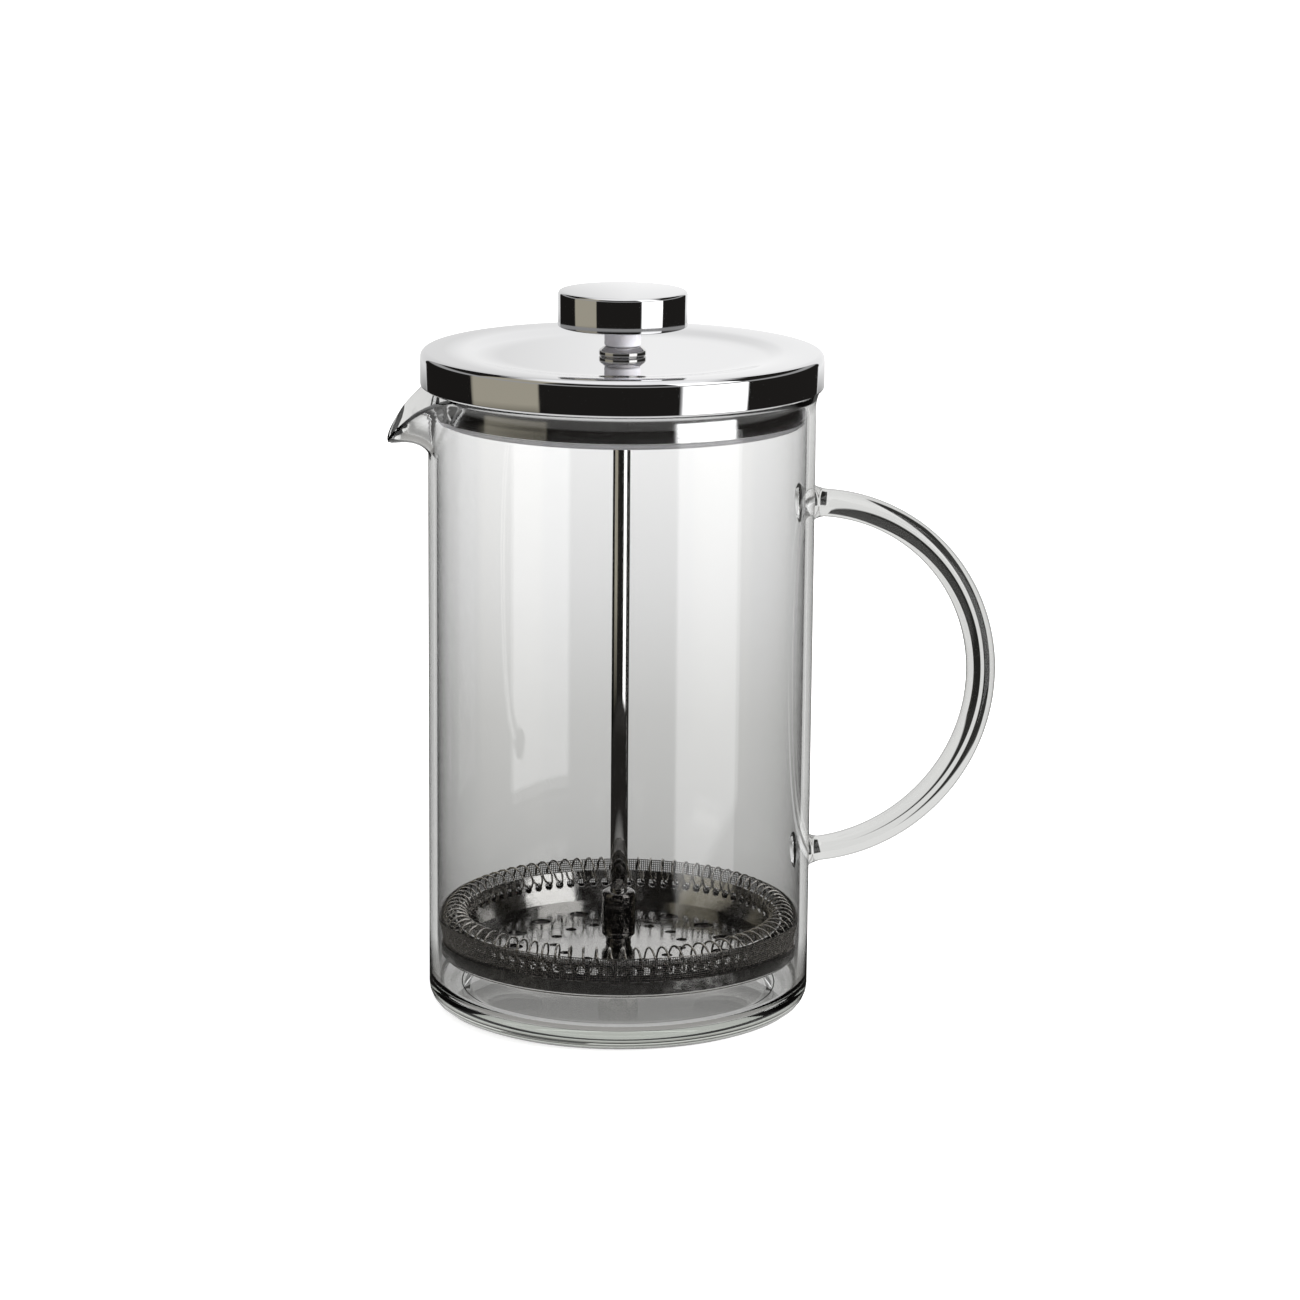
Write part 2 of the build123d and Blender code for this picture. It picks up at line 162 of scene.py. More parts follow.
def rounded(corners, segments=6):
    """An outline in metres from corners in millimetres, each (radius, height, round of the corner)."""
    points = []
    for i, (radius, height, corner_round) in enumerate(corners):
        here = Vector((radius, height))
        if not corner_round:
            points.append(here)
            continue
        back = (Vector(corners[i - 1][:2]) - here).normalized()
        ahead = (Vector(corners[(i + 1) % len(corners)][:2]) - here).normalized()
        half = back.angle(ahead) / 2
        centre = here + (back + ahead).normalized() * corner_round / math.sin(half)
        start = here + back * corner_round / math.tan(half) - centre
        end = here + ahead * corner_round / math.tan(half) - centre
        turn = math.atan2(start.x * end.y - start.y * end.x, start.dot(end))
        for k in range(segments + 1):
            points.append(centre + Matrix.Rotation(turn * k / segments, 2) @ start)
    return [(p.x * MM, p.y * MM) for p in points]


def lathe(name, outline, steps=TURN_STEPS):
    """Draw an outline of (radius, height) points as a line of vertices and spin it about Z.

    An outline that begins on the axis stays open, so that no edge runs along the axis.
    """
    start_clean()
    bpy.ops.mesh.primitive_plane_add(size=MM)
    piece = bpy.context.object
    piece.name = name
    bpy.ops.object.mode_set(mode="EDIT")
    bpy.ops.mesh.select_all(action="SELECT")
    bpy.ops.mesh.merge(type="CENTER")
    points = outline + outline[:1] if outline[0][0] else outline
    bpy.ops.transform.translate(value=(points[0][0], 0, points[0][1]))
    for (r0, z0), (r1, z1) in zip(points, points[1:]):
        bpy.ops.mesh.extrude_region_move(TRANSFORM_OT_translate={"value": (r1 - r0, 0, z1 - z0)})
    bpy.ops.mesh.select_all(action="SELECT")
    bpy.ops.mesh.spin(steps=steps, angle=math.tau, center=(0, 0, 0), axis=(0, 0, 1))
    bpy.ops.mesh.select_all(action="SELECT")
    bpy.ops.mesh.remove_doubles(threshold=0.002 * MM)
    bpy.ops.mesh.normals_make_consistent(inside=False)
    bpy.ops.object.mode_set(mode="OBJECT")
    # The operator can leave all faces looking inward, which a negative volume shows
    if sum(face.normal.dot(face.center) * face.area for face in piece.data.polygons) < 0:
        bpy.ops.object.mode_set(mode="EDIT")
        bpy.ops.mesh.flip_normals()
        bpy.ops.object.mode_set(mode="OBJECT")
    place_in_mesh(piece)
    return piece


def finish_piece(piece, body, material, nodes=(), smooth_angle=32):
    """Smooth a piece, give it its material, attach it to its body and hide the CAD nodes it stands in for."""
    select_only(piece)
    if smooth_angle:
        bpy.ops.object.shade_smooth_by_angle(angle=math.radians(smooth_angle))
    piece.data.materials.clear()
    piece.data.materials.append(material)
    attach(piece, body)
    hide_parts(*nodes)
    piece.select_set(False)


def dress_node(node, material):
    """Give a CAD node that is shown as it is its own material."""
    node_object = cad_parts[node]
    node_object.data.materials.clear()
    node_object.data.materials.append(material)


# ---------------------------------------------------------------- materials


def add_node(tree, kind, inputs=None, links=None, **attributes):
    """Add a node with its attributes, its input values and its incoming links."""
    node = tree.nodes.new(kind)
    for key, value in attributes.items():
        setattr(node, key, value)
    for key, value in (inputs or {}).items():
        node.inputs[key].default_value = value
    for key, source in (links or {}).items():
        tree.links.new(source, node.inputs[key])
    return node


def new_material(name, inputs):
    """A material whose Principled shader has the given fixed inputs; returns it, its tree and its shader."""
    material = bpy.data.materials.new(name)
    material.use_nodes = True
    tree = material.node_tree
    shader = tree.nodes["Principled BSDF"]
    for key, value in inputs.items():
        shader.inputs[key].default_value = value
    return material, tree, shader


# Noise seldom leaves this part of 0 to 1
NOISE_LOW = 0.35
NOISE_HIGH = 0.65


def surface_grain(tree, shader, spacing_mm, detail, stretch=(1, 1, 1), roughness=None, bump=None):
    """Noise over the piece's own coordinates, with features spacing_mm apart.

    It moves the roughness between two values and, or, bumps the surface by a distance in mm at a strength.
    """
    place = add_node(tree, "ShaderNodeTexCoord")
    mapping = add_node(tree, "ShaderNodeMapping", {"Scale": stretch}, {"Vector": place.outputs["Object"]})
    noise = add_node(
        tree, "ShaderNodeTexNoise",
        {"Scale": 1 / (spacing_mm * MM), "Detail": detail}, {"Vector": mapping.outputs["Vector"]},
    )
    if roughness:
        spread = add_node(
            tree, "ShaderNodeMapRange",
            {"From Min": NOISE_LOW, "From Max": NOISE_HIGH, "To Min": roughness[0], "To Max": roughness[1]},
            {"Value": noise.outputs["Fac"]},
        )
        tree.links.new(spread.outputs["Result"], shader.inputs["Roughness"])
    if bump:
        relief = add_node(
            tree, "ShaderNodeBump", {"Distance": bump[0] * MM, "Strength": bump[1]},
            {"Height": noise.outputs["Fac"]},
        )
        tree.links.new(relief.outputs["Normal"], shader.inputs["Normal"])


# How obliquely a handle's surface is seen where its painted shade, a dark outline painted into its colour,
# begins and where it is full, from 0 to 1
PAINTED_RIM_SHADE_START = 0.56
PAINTED_RIM_SHADE_FULL = 0.80
# Distance from the beaker's axis, in millimetres, where the handle takes over from the wall
ROD_START = 47.5
ROD_FULL = 49.0


def borosilicate_glass():
    """Drawn borosilicate: clear, nearly colourless, with slow ripples left by the drawing of the tube, and
    painted shade along the handle's rim.
    """
    tint = settings().glass.tint
    material, tree, shader = new_material("borosilicate_glass", {
        "Base Color": (1, 1, 1, 1), "IOR": 1.473, "Transmission Weight": 1.0, "Roughness": 0.0,
    })
    surface_grain(tree, shader, 22, 1.0, (1, 1, 0.25), bump=(0.05, 0.25))
    surface_grain(tree, shader, 6, 4.0, roughness=(0.0, 0.012))
    # A rod's rim bends light far aside, where a room is dark. Here that dark is painted shade: a thin dark
    # outline painted into the handle's colour, by how obliquely its surface is seen
    facing = add_node(tree, "ShaderNodeLayerWeight", {"Blend": 0.5})
    outline = add_node(
        tree, "ShaderNodeMapRange", {"From Min": PAINTED_RIM_SHADE_START, "From Max": PAINTED_RIM_SHADE_FULL},
        {"Value": facing.outputs["Facing"]},
    )
    place = add_node(tree, "ShaderNodeTexCoord")
    parts = add_node(tree, "ShaderNodeSeparateXYZ", links={"Vector": place.outputs["Object"]})
    on_rod = add_node(
        tree, "ShaderNodeMapRange", {"From Min": ROD_START * MM, "From Max": ROD_FULL * MM},
        {"Value": parts.outputs["X"]},
    )
    amount = add_node(
        tree, "ShaderNodeMath", links={0: outline.outputs["Result"], 1: on_rod.outputs["Result"]},
        operation="MULTIPLY",
    )
    # Painted shade: the handle's colour goes from white to dark grey where its surface is seen obliquely
    painted_rim_shade = add_node(
        tree, "ShaderNodeMix", {6: linear("ffffff"), 7: linear("20221e")}, {0: amount.outputs[0]},
        data_type="RGBA",
    )
    tree.links.new(painted_rim_shade.outputs[2], shader.inputs["Base Color"])
    body = add_node(tree, "ShaderNodeVolumeAbsorption", {"Color": (*tint, 1.0), "Density": 9.0})
    tree.links.new(body.outputs["Volume"], tree.nodes["Material Output"].inputs["Volume"])
    return material


def polished_steel():
    """Mirror-polished stainless sheet: sharp neutral reflections with faint buffing haze."""
    material, tree, shader = new_material("mirror_polished_stainless", {
        "Base Color": (*settings().steel.polished, 1), "Metallic": 1.0,
    })
    surface_grain(tree, shader, 3.5, 5.0, roughness=(0.02, 0.055))
    surface_grain(tree, shader, 14, 1.0, bump=(0.03, 0.12))
    return material


def rolled_steel():
    """Rolled stainless band: bright but not buffed, so that its reflections are soft."""
    material, tree, shader = new_material("rolled_stainless", {
        "Base Color": (*settings().steel.polished, 1), "Metallic": 1.0,
    })
    surface_grain(tree, shader, 4, 4.0, (1, 1, 6), roughness=(0.05, 0.10))
    return material


def turned_steel(name, hex_value):
    """Turned and polished stainless bar: mirror-like, with fine rings round the bar from the lathe tool."""
    material, tree, shader = new_material(name, {"Base Color": linear(hex_value), "Metallic": 1.0})
    surface_grain(tree, shader, 1.2, 2.0, (0.02, 0.02, 6.0), roughness=(0.015, 0.04))
    return material


def pressed_steel():
    """Pressed stainless plate as it leaves the tool: darker than polished sheet, with soft reflections."""
    material, tree, shader = new_material(
        "pressed_stainless", {"Base Color": linear("adacaa"), "Metallic": 1.0}
    )
    surface_grain(tree, shader, 2.0, 4.0, roughness=(0.08, 0.16))
    return material


def drawn_wire():
    """Bright drawn stainless wire: a little duller than polished sheet, and unevenly so along its length."""
    material, tree, shader = new_material("bright_drawn_wire", {
        "Base Color": (*settings().steel.drawn, 1), "Metallic": 1.0,
    })
    surface_grain(tree, shader, 0.5, 3.0, roughness=(0.08, 0.18))
    return material


def woven_wire(name, hex_value):
    """Woven stainless screen wire: fine and dull, so that the screen looks dark grey."""
    material, tree, shader = new_material(name, {"Base Color": linear(hex_value), "Metallic": 1.0})
    surface_grain(tree, shader, 0.4, 2.0, roughness=(0.22, 0.4))
    return material


def machined_metal(name, hex_value):
    """Plain machined fastener metal, steel or brass: satin, with tool marks."""
    material, tree, shader = new_material(name, {"Base Color": linear(hex_value), "Metallic": 1.0})
    surface_grain(tree, shader, 0.8, 3.0, (1, 1, 4), roughness=(0.2, 0.38), bump=(0.01, 0.3))
    return material


def white_polypropylene():
    """Moulded polypropylene: cool white, slightly waxy, with a fine spark-eroded grain."""
    material, tree, shader = new_material("moulded_polypropylene", {
        "Base Color": (*settings().plastic.white, 1), "IOR": 1.49,
        "Subsurface Weight": 0.25, "Subsurface Scale": 1.5 * MM, "Subsurface Radius": (1.0, 0.9, 0.85),
    })
    surface_grain(tree, shader, 0.6, 3.0, roughness=(0.32, 0.45), bump=(0.02, 0.25))
    return material


def nylon():
    """Turned natural nylon: ivory, a little translucent."""
    material, tree, shader = new_material("natural_nylon", {
        "Base Color": linear("e6e1d2"), "IOR": 1.53, "Subsurface Weight": 0.3, "Subsurface Scale": 1.0 * MM,
    })
    surface_grain(tree, shader, 0.5, 2.0, (1, 1, 5), roughness=(0.35, 0.5))
    return material


# ---------------------------------------------------------------- glass


# Lengths below are in millimetres
WALL_R = 48.0
FLOOR_TOP = 4.9
FOOT_HOLLOW = 0.7
SPOUT_HALF_ANGLE = math.radians(28)
SPOUT_ROOT_DROP = 17.0
# Share of the spout's half angle over which its tip curls
CURL_WIDTH = 0.45
# The flame's melting draws the tip back by this much
MELT_ALLOWANCE = 0.9
TIP_MELT = 14.0
INNER_CORNER = 3.5
# Vertices of the inner skin below this height belong to the floor and its corner
FLOOR_ZONE = 9.0
# Length of wall below the rim where the rings are close together, and of the flare within it
SPOUT_ZONE = 20.5
FLARE_ZONE = 4.0
# Height where the foot's rounding gives way to the plain wall
PLAIN_WALL_START = 10
HANDLE_HALF_WIDTH = 3.7
ROOT_DEPTH = 1.1
ROOT_SWELL = 1.5
ROOT_LENGTH = 4.2


def spout_lip(share, glass, rim_z):
    """A point on the outer skin's lip, from the spout's tip at share 0 to the rim corner at share 1.

    The lip is one Bezier curve with a handle at each end.
    """
    rim_r = WALL_R + glass.rim_flare / MM
    corner = Vector((-rim_r * math.cos(SPOUT_HALF_ANGLE), rim_r * math.sin(SPOUT_HALF_ANGLE), rim_z))
    along_rim = Vector((-math.sin(SPOUT_HALF_ANGLE), -math.cos(SPOUT_HALF_ANGLE), 0))
    tip = Vector((-WALL_R - glass.spout_reach / MM - MELT_ALLOWANCE, 0, rim_z - glass.spout_drop / MM))
    rim_handle = corner + along_rim * 13.3 - Vector((0, 0, 1.2))
    tip_handle = tip + Vector((-0.4, 7.6, 4.2))
    rest = 1 - share
    return (
        tip * rest ** 3 + tip_handle * 3 * rest ** 2 * share
        + rim_handle * 3 * rest * share * share + corner * share ** 3
    )


def pull_spout(piece, glass):
    """Pull the wall's top, opposite the handle, outwards and down into a spout with a curled tip."""
    rim_z = max(v.co.z for v in piece.data.vertices) / MM
    for vertex in piece.data.vertices:
        here = vertex.co / MM
        angle = math.atan2(here.y, -here.x)
        share = abs(angle) / SPOUT_HALF_ANGLE
        if share >= 1 or here.z < rim_z - SPOUT_ROOT_DROP:
            continue
        falloff = 0.5 + 0.5 * math.cos(math.pi * share)
        root_z = rim_z - SPOUT_ROOT_DROP * (0.15 + 0.85 * falloff)
        if here.z <= root_z:
            continue
        # From 0 at the spout's root to 1 at its lip
        s = (here.z - root_z) / (rim_z - root_z)
        lip = spout_lip(share, glass, rim_z)
        lip.y = math.copysign(lip.y, angle)
        radius = math.hypot(here.x, here.y)
        wall = Vector((-radius * math.cos(angle), radius * math.sin(angle), 0))
        drift = s * s
        # Both rises end at the lip; the curled one swells first and then levels off
        rise_plain = (lip.z - root_z) * (1.5 * s - 0.5 * s * s)
        rise_curled = (lip.z - root_z) * (2.05 * s + 1.32 * s * s - 2.37 * s ** 3)
        curl = max(0.0, 1 - share / CURL_WIDTH) ** 2
        z = root_z + rise_plain + (rise_curled - rise_plain) * curl
        vertex.co = Vector((wall.x + (lip.x - wall.x) * drift, wall.y + (lip.y - wall.y) * drift, z)) * MM


def thicken_glass(piece, wall, floor_z, inner_r):
    """Give the skin its wall thickness inwards, a flat thick floor and a level rim."""
    outer_count = len(piece.data.vertices)
    apply_modifier(
        piece, "SOLIDIFY", "wall", thickness=wall, offset=-1.0, use_even_offset=True, use_quality_normals=True
    )
    rim_z = span("beaker")[2] * MM
    for vertex in list(piece.data.vertices)[outer_count:]:
        vertex.co.z = min(vertex.co.z, rim_z)
        radius = math.hypot(vertex.co.x, vertex.co.y)
        height = vertex.co.z / MM
        # The offset skin is uneven near the foot: lay it flat, with a round corner to the wall
        if height < FLOOR_ZONE:
            bend = min(1.0, max(0.0, (radius / MM - inner_r + INNER_CORNER) / INNER_CORNER))
            vertex.co.z = floor_z + INNER_CORNER * (1 - math.sqrt(1 - bend * bend)) * MM


def melt_tip(piece, glass):
    """Round the spout's tip as if it had been softened in a flame, more the nearer to the tip."""
    tip = spout_lip(0.0, glass, span("beaker")[2]) * MM
    heated = piece.vertex_groups.new(name="heated")
    for vertex in piece.data.vertices:
        warmth = 1 - (vertex.co - tip).length / (TIP_MELT * MM)
        if warmth > 0:
            heated.add([vertex.index], min(1.0, 1.6 * warmth), "REPLACE")
    apply_modifier(piece, "SMOOTH", "melt", factor=0.5, iterations=9, vertex_group="heated")
    piece.vertex_groups.clear()


def make_body_skin(glass):
    """The beaker's outer skin as an open turned surface, with rings close together where the spout grows."""
    rim_z = span("beaker")[2]
    # The last corner only gives the foot's rounding its direction
    rings = rounded([
        (0, FOOT_HOLLOW, 0), (37.6, FOOT_HOLLOW, 2.0), (39.4, 0.0, 1.0), (40.3, 0, 0), (41.2, 0, 0),
        (42.1, 0, 0), (WALL_R, 0.0, 5.0), (WALL_R, 20, 0),
    ])[:-1]
    plain_height = rim_z - SPOUT_ZONE - PLAIN_WALL_START
    wall_rings = 12
    for k in range(1, wall_rings + 1):
        rings.append((WALL_R * MM, (PLAIN_WALL_START + plain_height * k / wall_rings) * MM))
    zone_low, zone_high = rim_z - SPOUT_ZONE, rim_z
    zone_rings = 16
    for k in range(1, zone_rings + 1):
        z = zone_low + (zone_high - zone_low) * k / zone_rings
        lean = max(0.0, 1 - (rim_z - z) / FLARE_ZONE)
        rings.append((WALL_R * MM + glass.rim_flare * lean ** 1.6, z * MM))
    return lathe("beaker_glass", rings, steps=288)


def make_handle_rod(glass):
    """The handle: a circle spun half round, tapered, and swollen where it is fused to the wall.

    The circle has a radius of 1 mm, which the taper multiplies.
    """
    low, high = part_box("handle")
    loop_r = high.x - WALL_R * MM - HANDLE_HALF_WIDTH * MM
    centre = Vector((WALL_R * MM, 0, (low.z + high.z) / 2))
    start_clean()
    bpy.ops.mesh.primitive_circle_add(
        vertices=32, radius=1 * MM, location=(centre.x, 0, centre.z + loop_r), rotation=(0, math.pi / 2, 0)
    )
    rod = bpy.context.object
    rod.name = "handle_rod"
    place_in_mesh(rod)
    bpy.ops.object.mode_set(mode="EDIT")
    bpy.ops.mesh.select_all(action="SELECT")
    bpy.ops.mesh.spin(steps=120, angle=math.pi, center=centre, axis=(0, -1, 0))
    bpy.ops.object.mode_set(mode="OBJECT")
    for side in (1, -1):
        select_only(rod)
        for vertex in rod.data.vertices:
            vertex.select = abs(vertex.co.x - centre.x) < 0.01 * MM and (vertex.co.z - centre.z) * side > 0
        bpy.ops.object.mode_set(mode="EDIT")
        bpy.ops.mesh.select_mode(type="VERT")
        bpy.ops.mesh.extrude_region_move(TRANSFORM_OT_translate={"value": (-ROOT_DEPTH * MM, 0, 0)})
        bpy.ops.mesh.edge_face_add()
        bpy.ops.object.mode_set(mode="OBJECT")
    taper_handle(rod, glass, centre, loop_r)
    select_only(rod)
    bpy.ops.object.mode_set(mode="EDIT")
    bpy.ops.mesh.select_all(action="SELECT")
    bpy.ops.mesh.remove_doubles(threshold=0.001 * MM)
    bpy.ops.mesh.normals_make_consistent(inside=False)
    bpy.ops.object.mode_set(mode="OBJECT")
    return rod


def taper_handle(rod, glass, centre, loop_r):
    """Scale each ring of the rod about its own centre to the rod's real thickness there."""
    for vertex in rod.data.vertices:
        out = max(0.0, vertex.co.x - centre.x)
        turn = math.atan2(out, vertex.co.z - centre.z)
        share = turn / math.pi
        middle = 1 - (2 * share - 1) ** 2
        ends = glass.rod_top * (1 - share) + glass.rod_foot * share
        radius = (ends + (glass.rod_middle - ends) * middle) / 2
        from_root = loop_r * min(turn, math.pi - turn)
        swell = max(0.0, 1 - from_root / (ROOT_LENGTH * MM))
        radius += ROOT_SWELL * MM * swell * swell
        ring = Vector((centre.x + loop_r * math.sin(turn), 0, centre.z + loop_r * math.cos(turn)))
        if vertex.co.x < centre.x - 0.01 * MM:
            ring.x = vertex.co.x
        vertex.co = ring + (vertex.co - ring) * (radius / MM)


def make_glass():
    """The beaker and its handle as one fused piece of glass."""
    glass = settings().glass
    skin = make_body_skin(glass)
    pull_spout(skin, glass)
    inner_r = WALL_R - glass.wall / MM
    thicken_glass(skin, glass.wall, FLOOR_TOP * MM, inner_r)
    melt_tip(skin, glass)
    apply_modifier(
        skin, "BEVEL", "melted_rim", width=glass.wall * 0.42, segments=4, limit_method="ANGLE",
        angle_limit=math.radians(55),
    )
    rod = make_handle_rod(glass)
    apply_modifier(skin, "BOOLEAN", "fuse", operation="UNION", solver="MANIFOLD", object=rod)
    bpy.data.objects.remove(rod)
    finish_piece(skin, "beaker", borosilicate_glass(), ("beaker", "handle"), 40)


# ---------------------------------------------------------------- lid


def make_lid_cover():
    """The pressed cover: dished top, raised border, rounded edge, skirt and turned-in hem."""
    radius, low, high = span("lid_cover")
    t = settings().steel.sheet / MM
    hole_r, dish_r, border_r = 3.7, 33.4, 42.4
    dish = high - 1.4
    slope_round = 45
    hem_r = radius - 2.3
    outline = rounded([
        (hole_r, dish, 0), (dish_r, dish, slope_round), (border_r, high, slope_round), (radius, high, 1.6),
        (radius, low, 0.6), (hem_r, low, 0.3), (hem_r, low + t, 0.3), (radius - t, low + t, 0),
        (radius - t, high - t, 1.3), (border_r, high - t, slope_round), (dish_r, dish - t, slope_round),
        (hole_r, dish - t, 0),
    ], 8)
    cover = lathe("lid_cover_pressed", outline, steps=256)
    finish_piece(cover, "lid", polished_steel(), ("lid_cover",))


def make_lid_liner():
    """The inner band with its flange and a rounded lower edge."""
    _, low, high = span("lid_liner")
    flange_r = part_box("lid_liner")[1].x / MM
    band_r = 45.2
    t = 0.6
    outline = rounded([
        (band_r - t, low, 0.25), (band_r, low, 0.25), (band_r, high - t, 0.4),
        (flange_r, high - t, 0.2), (flange_r, high, 0.2), (band_r - t, high, 0.4),
    ])
    band = lathe("lid_band", outline, steps=256)
    finish_piece(band, "lid", rolled_steel(), ("lid_liner",))


def make_ferrule():
    """The polished bead with its threaded stem."""
    radius, low, high = span("ferrule")
    seat = high - 2.4
    bore_r, stem_r = 3.02, 3.6
    outline = rounded([
        (bore_r, high, 0.2), (4.5, high, 0.35), (radius, high - 1.0, 0.7), (radius, seat + 0.3, 0.4),
        (radius - 0.3, seat, 0), (stem_r, seat, 0), (stem_r, low, 0.3), (bore_r, low, 0),
    ])
    ferrule = lathe("ferrule_bead", outline, steps=96)
    finish_piece(ferrule, "lid", turned_steel("turned_stainless", "cfcecd"), ("ferrule",))


# ---------------------------------------------------------------- knob, rod and hub


def make_knob():
    """The knob's steel cap with a rounded lower edge, and its plastic core with the collar."""
    radius, low, high = span("knob_shell")
    t = 0.8
    cap_outline = rounded([
        (0, high, 0), (radius, high - 0.1, 0.9), (radius, low, 0.3), (radius - t, low, 0.3),
        (radius - t, high - 0.9, 0.6), (0, high - t, 0),
    ])
    cap = lathe("knob_cap", cap_outline)
    finish_piece(cap, "plunger", polished_steel(), ("knob_shell",))
    core_r, core_low, core_high = span("knob_core")
    edge = settings().plastic.collar_edge / MM
    bore_r, collar_r, socket_r = 2.18, 4.5, 4.14
    socket_foot = 174.5
    core_outline = rounded([
        (bore_r, core_low, 0.15), (collar_r, core_low, edge), (collar_r, low + 0.5, 0.8),
        (core_r, low + 0.5, 0.2), (core_r, core_high - 0.2, 0.5), (socket_r, core_high - 0.2, 0),
        (socket_r, socket_foot, 0), (bore_r, socket_foot, 0),
    ])
    core = lathe("knob_core_moulded", core_outline)
    finish_piece(core, "plunger", white_polypropylene(), ("knob_core",))


def make_rod():
    """The rod with chamfered ends."""
    radius, low, high = span("plunger_rod")
    chamfer = 0.4
    outline = rounded([
        (0, low, 0), (radius - chamfer, low, 0.1), (radius, low + chamfer, 0.1),
        (radius, high - chamfer, 0.1), (radius - chamfer, high, 0.1), (0, high, 0),
    ], 2)
    rod = lathe("rod_turned", outline, steps=64)
    finish_piece(
        rod, "plunger", turned_steel("ground_stainless", "e0dfde"), ("plunger_rod",)
    )


def make_hub():
    """The hub barrel with its domed shoulder, tool groove, neck and stud."""
    radius, low, high = span("hub")
    plate_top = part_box("spring_plate")[0].z / MM + 0.5
    foot = plate_top + 2.6
    stud_r = 2.45
    socket_foot = high - 9
    outline = rounded([
        (0, low, 0), (stud_r - 0.4, low, 0), (stud_r, low + 0.4, 0), (stud_r, plate_top, 0),
        (3.3, plate_top, 0.1), (3.15, plate_top + 0.7, 0.5), (3.5, foot - 0.9, 0.8),
        (radius - 0.1, foot - 0.1, 0.3), (radius, foot + 0.45, 0.2), (radius - 0.22, foot + 0.65, 0.1),
        (radius, foot + 0.85, 0.2), (radius, high, 1.2), (2.3, high, 0.12), (2.19, socket_foot, 0),
        (0, socket_foot, 0),
    ])
    hub = lathe("hub_barrel", outline, steps=96)
    # Painted shade: the hub takes a much darker copy of the turned stainless, which darkens all of its
    # reflections
    finish_piece(hub, "plunger", turned_steel("turned_stainless_painted_shade", "646260"), ("hub",))


# ---------------------------------------------------------------- filter


def make_coil():
    """The coil: a wire section screwed into a straight spring, then wrapped into a closed ring."""
    steel = settings().steel
    low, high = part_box("coil_spring")
    coil_r = (high.z - low.z) / 2
    ring_r = high.x - coil_r
    ring_z = (high.z + low.z) / 2
    turns = round(math.tau * ring_r / steel.coil_pitch)
    length = math.tau * ring_r
    start_clean()
    bpy.ops.mesh.primitive_circle_add(vertices=7, radius=steel.coil_wire / 2, rotation=(math.pi / 2, 0, 0))
    coil = bpy.context.object
    coil.name = "coil_wire"
    bpy.ops.object.mode_set(mode="EDIT")
    bpy.ops.mesh.select_all(action="SELECT")
    bpy.ops.transform.translate(value=(coil_r - steel.coil_wire / 2, 0, 0))
    bpy.ops.object.mode_set(mode="OBJECT")
    place_in_mesh(coil)
    apply_modifier(
        coil, "SCREW", "turns", axis="Z", angle=math.tau, screw_offset=length / turns, iterations=turns,
        steps=16, render_steps=16, use_smooth_shade=True,
    )
    for vertex in coil.data.vertices:
        angle = vertex.co.z / ring_r
        radius = ring_r - vertex.co.x
        vertex.co = (radius * math.cos(angle), radius * math.sin(angle), ring_z + vertex.co.y)
    select_only(coil)
    bpy.ops.object.mode_set(mode="EDIT")
    bpy.ops.mesh.select_all(action="SELECT")
    bpy.ops.mesh.remove_doubles(threshold=0.02 * MM)
    bpy.ops.mesh.normals_make_consistent(inside=False)
    bpy.ops.object.mode_set(mode="OBJECT")
    finish_piece(coil, "plunger", drawn_wire(), ("coil_spring",), 60)


def make_screen():
    """The screen: a standing rim of crossed wires, and a plain disc for its floor."""
    steel = settings().steel
    low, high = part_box("filter_mesh")
    clearance = 0.1 * MM
    top_r = high.x - clearance
    foot_r = top_r - 1.05 * MM
    fold_z = low.z + 4.0 * MM
    waves, wave_height = 61, 0.03 * MM
    columns = round(math.tau * top_r / steel.weave)
    rows = round((high.z - low.z) / steel.weave)
    start_clean()
    bpy.ops.mesh.primitive_circle_add(vertices=columns, radius=foot_r, location=(0, 0, low.z + clearance))
    screen = bpy.context.object
    screen.name = "screen_rim"
    place_in_mesh(screen)
    bpy.ops.object.mode_set(mode="EDIT")
    bpy.ops.mesh.select_all(action="SELECT")
    step = (high.z - low.z - 0.2 * MM) / rows
    for _ in range(rows):
        bpy.ops.mesh.extrude_region_move(TRANSFORM_OT_translate={"value": (0, 0, step)})
    bpy.ops.object.mode_set(mode="OBJECT")
    for vertex in screen.data.vertices:
        share = max(0.0, (vertex.co.z - fold_z) / (high.z - fold_z))
        wave = 1 + wave_height * math.sin(waves * math.atan2(vertex.co.y, vertex.co.x)) / foot_r * share
        scale = (foot_r + (top_r - foot_r) * share) / foot_r * wave
        vertex.co.x *= scale
        vertex.co.y *= scale
    apply_modifier(
        screen, "WIREFRAME", "wires", thickness=steel.weave_wire, use_replace=True, use_boundary=True,
        use_even_offset=False, use_relative_offset=False,
    )
    finish_piece(
        screen, "plunger", woven_wire("woven_stainless_wire", "6f6c68"), ("filter_mesh",), 0
    )
    hole_r, floor_t = 5.0, 0.24
    floor_outline = rounded([
        (hole_r, low.z / MM, 0), (foot_r / MM, low.z / MM, 0.1), (foot_r / MM, low.z / MM + floor_t, 0.1),
        (hole_r, low.z / MM + floor_t, 0),
    ], 3)
    floor = lathe("screen_floor", floor_outline)
    # Painted shade: the screen's floor takes a darker copy of the woven wire, for the shadow it lies in below
    # the plate's holes
    finish_piece(floor, "plunger", woven_wire("woven_wire_painted_shade", "4c4a48"))


